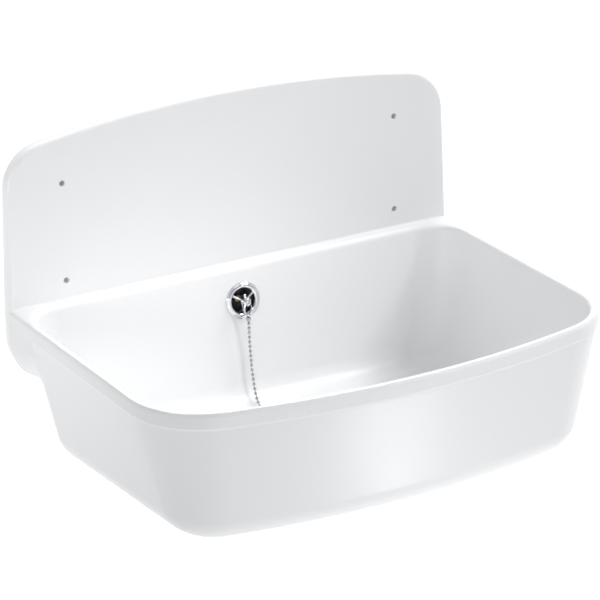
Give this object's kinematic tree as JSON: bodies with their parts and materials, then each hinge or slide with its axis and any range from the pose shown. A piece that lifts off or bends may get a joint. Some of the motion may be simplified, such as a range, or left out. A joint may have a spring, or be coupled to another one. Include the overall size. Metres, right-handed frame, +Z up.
{
  "type": "utility sink",
  "caption": "Wall-hung white plastic utility sink with a crowned splash panel, chrome overflow rosette, ball chain, rubber plug and waste outlet.",
  "frame": {"origin": "middle of the four wall fixing holes, on the wall plane", "axes": "+X to the right seen from the front, +Y towards the wall, +Z up"},
  "size_m": [0.6, 0.4405, 0.4775],
  "materials": {
    "white_plastic": "smooth glossy white moulding with a very fine orange-peel",
    "chrome": "polished chrome plate with fine rub marks",
    "chrome_screw": "chrome-plated pan-head screw",
    "chain_metal": "nickel-plated rolled balls, slightly worn",
    "steel": "pressed stainless steel, circular brushing",
    "steel_screw": "turned stainless steel",
    "gasket_rubber": "matt black moulded rubber",
    "plug_rubber": "matt black moulded rubber, slightly dusty",
    "black_plastic": "matt black moulded plastic",
    "waste_plastic": "matt off-white moulded plastic",
    "collar_plastic": "matt off-white moulded plastic",
    "hose_plastic": "translucent off-white blow-moulded plastic",
    "brass": "turned brass, unpolished"
  },
  "bodies": {
    "root": {"sink_body": "white_plastic", "overflow_rosette": "chrome", "overflow_screw": "chrome_screw", "overflow_gasket": "gasket_rubber", "overflow_elbow": "black_plastic", "overflow_insert": "brass", "overflow_hose": "hose_plastic", "hose_collar_upper": "collar_plastic", "hose_seal_upper": "gasket_rubber", "hose_collar_lower": "collar_plastic", "hose_seal_lower": "gasket_rubber", "waste_strainer": "steel", "waste_screw": "steel_screw", "waste_top_gasket": "gasket_rubber", "waste_bottom_gasket": "gasket_rubber", "waste_body": "waste_plastic", "waste_insert": "brass", "chain_upper": "chain_metal"},
    "link": {"chain_link": "chrome", "chain_end_upper": "chain_metal"},
    "plug": {"drain_plug": "plug_rubber", "plug_eyelet": "chrome", "plug_ring": "chrome", "chain_end_lower": "chain_metal", "chain_lower": "chain_metal"}
  },
  "joints": [
    {"name": "plug_lift", "type": "slide", "parent": "root", "child": "plug", "axis": [0, 0, 1], "range_m": [0, 0.03], "deforming": ["chain_lower"]},
    {"name": "link_swing", "type": "hinge", "parent": "root", "child": "link", "pos_m": [0, -0.04413, -0.12711], "axis": [-1, 0, 0], "range_deg": [0, 60]}
  ]
}
